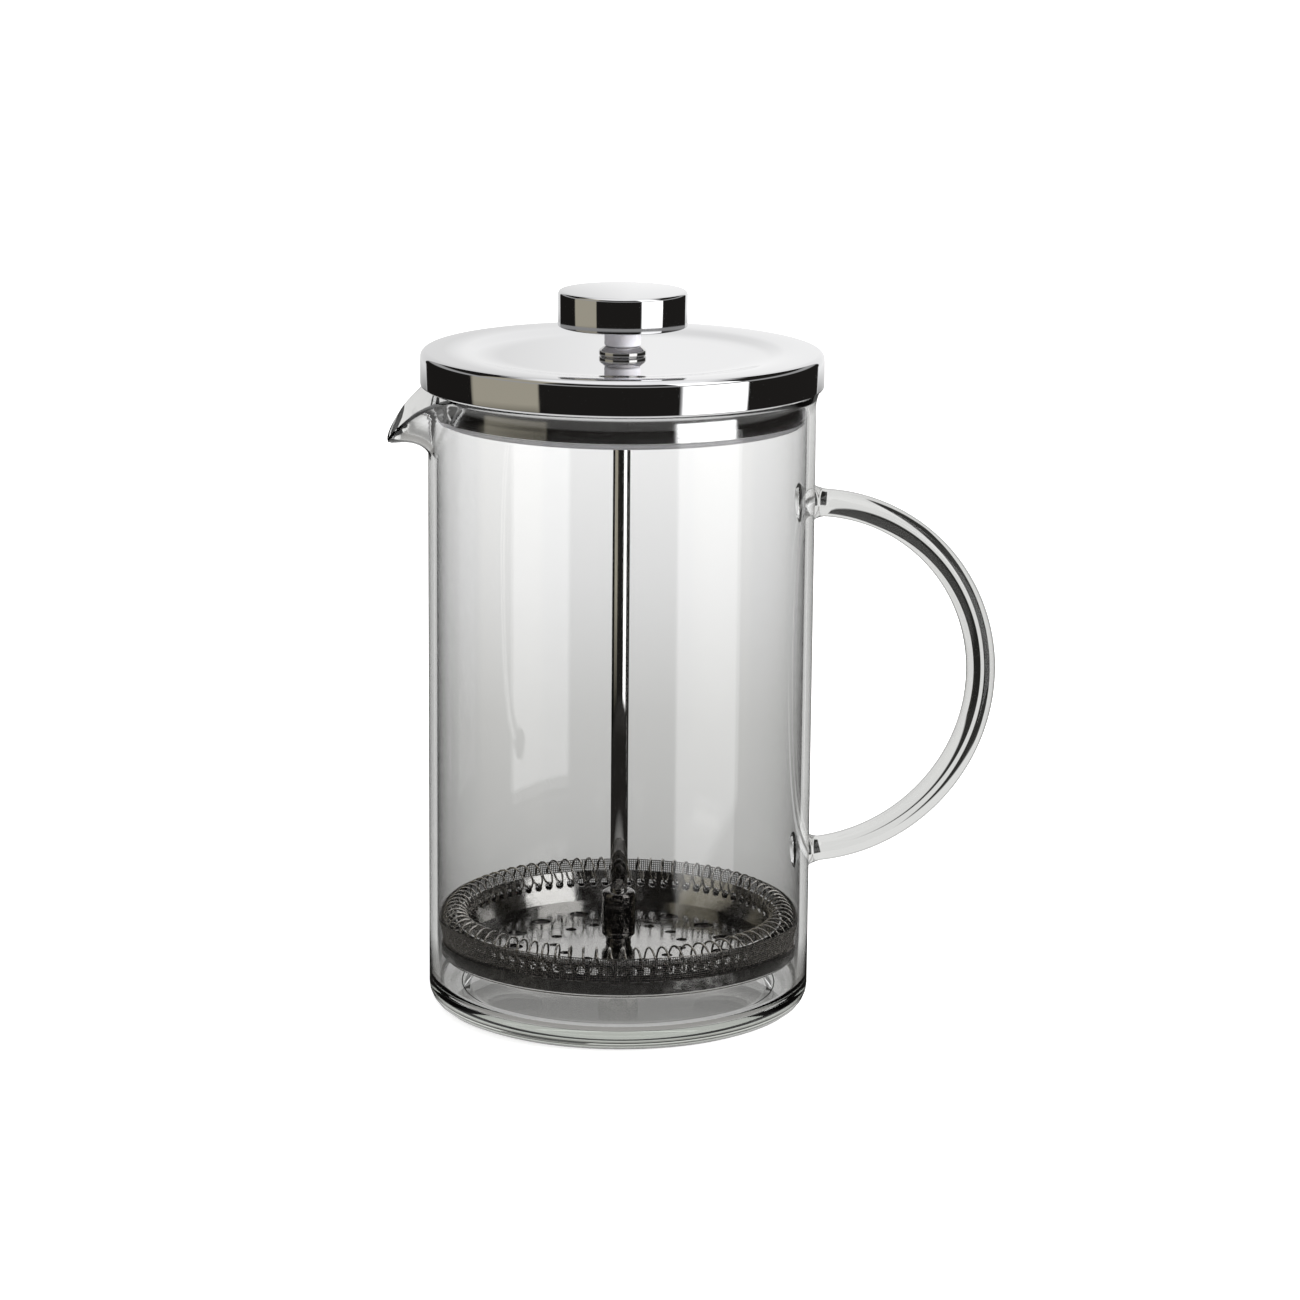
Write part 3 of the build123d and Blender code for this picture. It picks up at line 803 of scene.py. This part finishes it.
def dress_frame_nodes():
    """Materials for the CAD nodes that are shown as they are."""
    fastener = machined_metal("machined_stainless", "b9b6b0")
    plastic = white_polypropylene()
    pressed = pressed_steel()
    dress_node("spring_plate", pressed)
    dress_node("cross_plate", pressed)
    dress_node("lid_insert", plastic)
    dress_node("guide_bush", nylon())
    dress_node("knob_nut", machined_metal("turned_brass", "c9a45c"))
    for node in ("ferrule_washer", "ferrule_nut", "mesh_eyelet", "lock_nut"):
        dress_node(node, fastener)


# ---------------------------------------------------------------- stage


CAMERA_AZIMUTH = -10.0
CAMERA_DISTANCE = 1.0469
CAMERA_SIDE = 0.0074
CAMERA_HEIGHT = 0.3284
CAMERA_PITCH = 12.80
CAMERA_ROLL = 0.495
CAMERA_LENS = 118.7
SENSOR_WIDTH = 36


def make_camera():
    """A long lens a metre away, a little above the lid, with the handle to the right."""
    data = bpy.data.cameras.new("camera")
    data.lens = CAMERA_LENS
    data.sensor_width = SENSOR_WIDTH
    camera = bpy.data.objects.new("camera", data)
    bpy.context.scene.collection.objects.link(camera)
    turn = Matrix.Rotation(math.radians(CAMERA_AZIMUTH), 4, "Z")
    stand = Matrix.Translation((CAMERA_SIDE, -CAMERA_DISTANCE, CAMERA_HEIGHT))
    pitch = Matrix.Rotation(math.radians(90 - CAMERA_PITCH), 4, "X")
    roll = Matrix.Rotation(math.radians(CAMERA_ROLL), 4, "Z")
    camera.matrix_world = turn @ stand @ pitch @ roll
    bpy.context.scene.camera = camera


# Panels round the press as reflections meet them, as (from, to, colour), in degrees from the side where the
# camera stands at rest, positive to its right. They stand still when another view is taken.
STUDIO_PANELS = (
    (-180, -178.6, "bebebe"),
    (-178.6, -147, "acacac"),
    (-147, -93, "131211"),
    (-93, -47, "807c70"),
    (-47, 34, "151413"),
    (34, 75, "ffffff"),
    (75, 147, "161514"),
    (147, 180, "bebebe"),
)
# Half the width of the blend between two panels, in degrees
PANEL_EDGE = 0.5
# The softbox's two ends in degrees, and how far below the horizon its slanting lower edge is at each end,
# as a sine
SOFTBOX_ENDS = (34, 75)
SOFTBOX_FOOT = (0.271, 0.238)
# Downward slope of the eye's line to the press, as a sine
EYE_SLOPE = 0.21
# How light the backdrop is by height, as (sine of the elevation, colour)
BACKDROP = (
    (-0.50, "8a8a8a"), (-0.42, "747473"), (-0.33, "666665"), (-0.30, "6d6d6c"), (-0.28, "777776"),
    (-0.2555, "8c8c8b"), (-0.2193, "989897"), (-0.18, "acacac"), (-0.13, "bebebe"), (-0.08, "cacaca"),
    (0.25, "d0d0d1"), (0.50, "d4d4d4"),
)
# Added to a height so that it falls between 0 and 1, as a ramp needs
RAMP_SHIFT = 0.5
SURROUND_STRENGTH = 2.0
SURROUND_RADIUS = 4.0
# The studio's masks: what is measured, where the mask begins, where it is full. Azimuth, away and repeat are
# in degrees, height is the sine of the elevation, and mirrors and glass_faces count what the ray has met.
STUDIO_MASKS = {
    "behind": ("away", 146, 149),
    "below_eye": ("height", -0.10, -0.16),
    "far_below": ("height", -0.258, -0.266),
    "beside": ("away", 149, 146),
    "above_eye": ("height", 0.20, 0.26),
    "below_top": ("height", 0.50, 0.42),
    "elsewhere": ("away", 130, 110),
    "left": ("azimuth", -40, -50),
    "falling": ("height", -0.165, -0.265),
    "under_softbox": ("over_edge", 0.003, -0.004),
    "paper": ("height", -0.36, -0.46),
    "ceiling": ("height", 0.80, 0.92),
    "trapped": ("mirrors", 1.4, 1.6),
    "level": ("tilt", 0.12, 0.08),
    "off_level": ("tilt", 0.08, 0.12),
    "outside": ("glass_faces", 0.6, 0.4),
    "in_glass": ("glass_faces", 0.4, 0.6),
    "one_glass": ("glass_faces", 2.6, 2.4),
    "bounced": ("mirrors", 0.4, 0.6),
    "high_card_start": ("repeat", 154, 155),
    "high_card_end": ("repeat", 175, 174),
    "high_card_foot": ("height", -0.30, -0.28),
    "high_card_head": ("height", 0.52, 0.44),
    "low_card_start": ("repeat", 3, 4),
    "low_card_end": ("repeat", 23, 22),
    "low_card_foot": ("height", -0.72, -0.68),
    "low_card_head": ("height", 0.0, -0.04),
}
# What reflections see over the panels, first to last: masks, colour, how it is laid on
REFLECTED_LAYERS = (
    (("behind", "below_eye"), "6a6a69", "MULTIPLY"),
    (("left", "falling"), "3a3a3a", "MULTIPLY"),
    (("under_softbox", "outside"), "191817", "MIX"),
    (("in_glass", "far_below"), "191817", "MIX"),
    (("paper",), "b4b4b3", "MIX"),
    (("above_eye", "below_top", "beside", "outside"), "7c7c7c", "MIX"),
    (("ceiling",), "c8c8c9", "MIX"),
    (("in_glass", "one_glass", "off_level"), "6e6d6b", "MIX"),
    (("in_glass", "one_glass", "trapped"), "8e8e8d", "MIX"),
    (("in_glass", "one_glass", "behind", "level"), "a8a8a7", "MIX"),
)
# What clear glass sees over the backdrop: a rod of glass turns light far aside, on to the dark cards.
# The cards come again every CARD_REPEAT degrees.
THROUGH_LAYERS = (
    (("elsewhere",), "9c9c9b", "MIX"),
    (("one_glass",), "a2a2a1", "MIX"),
    (("one_glass", "high_card_start", "high_card_end", "high_card_foot", "high_card_head"), "171716", "MIX"),
    (("one_glass", "low_card_start", "low_card_end", "low_card_foot", "low_card_head"), "171716", "MIX"),
)
CARD_REPEAT = 180.0


def studio_light_material():
    """Emission for the surround: panels for reflections, a pale backdrop and dark cards through the glass."""
    material = bpy.data.materials.new("studio_surround")
    material.use_nodes = True
    tree = material.node_tree
    tree.nodes.clear()
    measured = measure_direction(tree)
    masks = {}
    for name, (what, start, full) in STUDIO_MASKS.items():
        mask = add_node(
            tree, "ShaderNodeMapRange", {"From Min": start, "From Max": full}, {"Value": measured[what]}
        )
        masks[name] = mask.outputs["Result"]
    share = add_node(
        tree, "ShaderNodeMapRange", {"From Min": -180, "From Max": 180}, {"Value": measured["azimuth"]}
    )
    panels = add_node(tree, "ShaderNodeValToRGB", links={"Fac": share.outputs["Result"]})
    fill_panels(panels.color_ramp)
    level = add_node(tree, "ShaderNodeMath", {1: RAMP_SHIFT}, {0: measured["height"]}, operation="ADD")
    backdrop = add_node(tree, "ShaderNodeValToRGB", links={"Fac": level.outputs[0]})
    fill_ramp(backdrop.color_ramp, [(height + RAMP_SHIFT, colour) for height, colour in BACKDROP])
    reflected = lay_over(tree, panels.outputs["Color"], REFLECTED_LAYERS, masks)
    through = lay_over(tree, backdrop.outputs["Color"], THROUGH_LAYERS, masks)
    seen = add_node(
        tree, "ShaderNodeMix", links={0: masks["bounced"], 6: through, 7: reflected}, data_type="RGBA"
    )
    glow = add_node(tree, "ShaderNodeEmission", {"Strength": SURROUND_STRENGTH}, {"Color": seen.outputs[2]})
    add_node(tree, "ShaderNodeOutputMaterial", links={"Surface": glow.outputs["Emission"]})
    material.cycles.emission_sampling = "NONE"
    return material


def measure_direction(tree):
    """What the studio's masks are measured by: the direction from the press, and what the ray has met."""
    place = add_node(tree, "ShaderNodeTexCoord")
    turned = add_node(
        tree, "ShaderNodeMapping", {"Rotation": (0, 0, math.radians(-CAMERA_AZIMUTH))},
        {"Vector": place.outputs["Object"]},
    )
    unit = add_node(tree, "ShaderNodeVectorMath", links={0: turned.outputs["Vector"]}, operation="NORMALIZE")
    parts = add_node(tree, "ShaderNodeSeparateXYZ", links={0: unit.outputs["Vector"]})
    height = parts.outputs["Z"]
    towards = add_node(tree, "ShaderNodeMath", {1: -1.0}, {0: parts.outputs["Y"]}, operation="MULTIPLY")
    turn = add_node(
        tree, "ShaderNodeMath", links={0: parts.outputs["X"], 1: towards.outputs[0]}, operation="ARCTAN2"
    )
    azimuth = add_node(tree, "ShaderNodeMath", links={0: turn.outputs[0]}, operation="DEGREES").outputs[0]
    away = add_node(tree, "ShaderNodeMath", links={0: azimuth}, operation="ABSOLUTE")
    repeat = add_node(tree, "ShaderNodeMath", {1: CARD_REPEAT}, {0: azimuth}, operation="FLOORED_MODULO")
    # The softbox's lower edge slants from one end to the other
    edge = add_node(tree, "ShaderNodeMapRange", {
        "From Min": SOFTBOX_ENDS[0], "From Max": SOFTBOX_ENDS[1],
        "To Min": SOFTBOX_FOOT[0], "To Max": SOFTBOX_FOOT[1],
    }, {"Value": azimuth})
    over_edge = add_node(
        tree, "ShaderNodeMath", links={0: height, 1: edge.outputs["Result"]}, operation="ADD"
    )
    # Upright glass keeps the eye's own slope; anything else has been turned by a corner
    slope = add_node(tree, "ShaderNodeMath", {1: EYE_SLOPE}, {0: height}, operation="ADD")
    tilt = add_node(tree, "ShaderNodeMath", links={0: slope.outputs[0]}, operation="ABSOLUTE")
    path = add_node(tree, "ShaderNodeLightPath")
    return {
        "height": height, "azimuth": azimuth, "away": away.outputs[0], "repeat": repeat.outputs[0],
        "over_edge": over_edge.outputs[0], "tilt": tilt.outputs[0],
        "glass_faces": path.outputs["Transmission Depth"], "mirrors": path.outputs["Glossy Depth"],
    }


def lay_over(tree, colour, layers, masks):
    """Lay flat colours over a colour, each where all of its masks are full."""
    for names, hex_value, blend_type in layers:
        amount = masks[names[0]]
        for name in names[1:]:
            both = add_node(tree, "ShaderNodeMath", links={0: amount, 1: masks[name]}, operation="MULTIPLY")
            amount = both.outputs[0]
        mix = add_node(
            tree, "ShaderNodeMix", {7: linear(hex_value)}, {0: amount, 6: colour},
            data_type="RGBA", blend_type=blend_type,
        )
        colour = mix.outputs[2]
    return colour


def fill_ramp(ramp, stops):
    """Set a colour ramp's stops from (place, sRGB hex) pairs."""
    while len(ramp.elements) > 1:
        ramp.elements.remove(ramp.elements[0])
    for i, (place, colour) in enumerate(stops):
        stop = ramp.elements[0] if i == 0 else ramp.elements.new(place)
        stop.position = place
        stop.color = linear(colour)


def fill_panels(ramp):
    """Set a ramp round the horizon from the panels, with a soft edge between each two."""
    stops = []
    for start, end, colour in STUDIO_PANELS:
        stops.append(((start + PANEL_EDGE + 180) / 360, colour))
        stops.append(((end - PANEL_EDGE + 180) / 360, colour))
    fill_ramp(ramp, stops)


def show_only(thing, camera=False, diffuse=False, glossy=False, transmission=False):
    """Choose which kinds of ray meet a stage object. It casts no shadow."""
    thing.visible_camera = camera
    thing.visible_diffuse = diffuse
    thing.visible_glossy = glossy
    thing.visible_transmission = transmission
    thing.visible_volume_scatter = False
    thing.visible_shadow = False


FLOOR_SIZE = 8.0
# The floor's and the world's own light, so that the floor stays white all over
FLOOR_GLOW = 0.7
WORLD_STRENGTH = 0.7
# The key light: watts, width and height in metres, where it stands and what it is aimed at
KEY_POWER = 110
KEY_SIZE = (1.2, 1.6)
KEY_PLACE = (2.2, -1.1, 0.5)
KEY_AIM = (0, 0, 0.1)


def make_floor():
    """A wide pale floor."""
    start_clean()
    bpy.ops.mesh.primitive_plane_add(size=FLOOR_SIZE)
    floor = bpy.context.object
    floor.name = "pale_floor"
    material, tree, shader = new_material("pale_paper_floor", {
        "Base Color": linear("f7f7f6"), "Roughness": 0.9,
        "Emission Color": (1, 1, 1, 1), "Emission Strength": FLOOR_GLOW,
    })
    surface_grain(tree, shader, 4, 2.0, bump=(0.05, 0.05))
    floor.data.materials.append(material)
    show_only(floor, camera=True, diffuse=True)


def make_surround():
    """A sphere of studio light that only reflections and glass see."""
    start_clean()
    bpy.ops.mesh.primitive_uv_sphere_add(segments=64, ring_count=32, radius=SURROUND_RADIUS)
    surround = bpy.context.object
    surround.name = "studio_surround"
    surround.data.materials.append(studio_light_material())
    show_only(surround, glossy=True, transmission=True)


def make_lights():
    """A plain white world and one large soft light from the right."""
    world = bpy.data.worlds.new("white_room")
    bpy.context.scene.world = world
    world.use_nodes = True
    background = world.node_tree.nodes["Background"]
    background.inputs["Color"].default_value = (1, 1, 1, 1)
    background.inputs["Strength"].default_value = WORLD_STRENGTH
    data = bpy.data.lights.new("key_softbox", "AREA")
    data.energy = KEY_POWER
    data.shape = "RECTANGLE"
    data.size, data.size_y = KEY_SIZE
    light = bpy.data.objects.new("key_softbox", data)
    bpy.context.scene.collection.objects.link(light)
    light.location = KEY_PLACE
    light.rotation_euler = (Vector(KEY_AIM) - light.location).to_track_quat("-Z", "Y").to_euler()
    light.visible_camera = False
    light.visible_glossy = False
    light.visible_transmission = False
    bpy.context.scene.view_settings.view_transform = "Standard"


# ---------------------------------------------------------------- operators


class PRESS_OT_glass(bpy.types.Operator):
    """Build the beaker and its handle as one fused glass piece"""

    bl_idname = "press.glass"
    bl_label = "Glass beaker and handle"

    def execute(self, context):
        make_glass()
        return {"FINISHED"}


class PRESS_OT_lid_cover(bpy.types.Operator):
    """Build the lid's pressed steel cover"""

    bl_idname = "press.lid_cover"
    bl_label = "Lid cover"

    def execute(self, context):
        make_lid_cover()
        return {"FINISHED"}


class PRESS_OT_lid_liner(bpy.types.Operator):
    """Build the lid's inner steel band"""

    bl_idname = "press.lid_liner"
    bl_label = "Lid band"

    def execute(self, context):
        make_lid_liner()
        return {"FINISHED"}


class PRESS_OT_ferrule(bpy.types.Operator):
    """Build the bead in the middle of the lid"""

    bl_idname = "press.ferrule"
    bl_label = "Ferrule"

    def execute(self, context):
        make_ferrule()
        return {"FINISHED"}


class PRESS_OT_knob(bpy.types.Operator):
    """Build the knob's cap and core"""

    bl_idname = "press.knob"
    bl_label = "Knob"

    def execute(self, context):
        make_knob()
        return {"FINISHED"}


class PRESS_OT_rod(bpy.types.Operator):
    """Build the plunger rod and its hub"""

    bl_idname = "press.rod"
    bl_label = "Rod and hub"

    def execute(self, context):
        make_rod()
        make_hub()
        return {"FINISHED"}


class PRESS_OT_coil(bpy.types.Operator):
    """Build the coil round the spring plate"""

    bl_idname = "press.coil"
    bl_label = "Coil"

    def execute(self, context):
        make_coil()
        return {"FINISHED"}


class PRESS_OT_screen(bpy.types.Operator):
    """Build the woven screen"""

    bl_idname = "press.screen"
    bl_label = "Screen"

    def execute(self, context):
        make_screen()
        return {"FINISHED"}


class PRESS_OT_frame_nodes(bpy.types.Operator):
    """Give the plates, nuts and plastic insert of the CAD frame their materials"""

    bl_idname = "press.frame_nodes"
    bl_label = "Plates, nuts and insert"

    def execute(self, context):
        dress_frame_nodes()
        return {"FINISHED"}


class PRESS_OT_stage(bpy.types.Operator):
    """Set up the floor, light and camera"""

    bl_idname = "press.stage"
    bl_label = "Stage"

    def execute(self, context):
        make_camera()
        make_floor()
        make_surround()
        make_lights()
        return {"FINISHED"}


OPERATORS = (
    PRESS_OT_glass, PRESS_OT_lid_cover, PRESS_OT_lid_liner, PRESS_OT_ferrule, PRESS_OT_knob, PRESS_OT_rod,
    PRESS_OT_coil, PRESS_OT_screen, PRESS_OT_frame_nodes, PRESS_OT_stage,
)


class PRESS_PT_panel(bpy.types.Panel):
    """Lists the press's sizes and the steps that build it"""

    bl_idname = "PRESS_PT_panel"
    bl_label = "French Press"
    bl_space_type = "VIEW_3D"
    bl_region_type = "UI"
    bl_category = "French Press"

    def draw(self, context):
        for group in ("glass", "steel", "plastic"):
            box = self.layout.box()
            values = getattr(context.scene.french_press, group)
            for key in values.__annotations__:
                box.prop(values, key)
        for operator in OPERATORS:
            self.layout.operator(operator.bl_idname)


CLASSES = (PressGlass, PressSteel, PressPlastic, PressSettings, *OPERATORS, PRESS_PT_panel)


def register():
    for each in CLASSES:
        bpy.utils.register_class(each)
    bpy.types.Scene.french_press = bpy.props.PointerProperty(type=PressSettings)


def unregister():
    del bpy.types.Scene.french_press
    for each in reversed(CLASSES):
        bpy.utils.unregister_class(each)


def main():
    register()
    for operator in OPERATORS:
        group, name = operator.bl_idname.split(".")
        getattr(getattr(bpy.ops, group), name)()


if __name__ == "__main__":
    main()
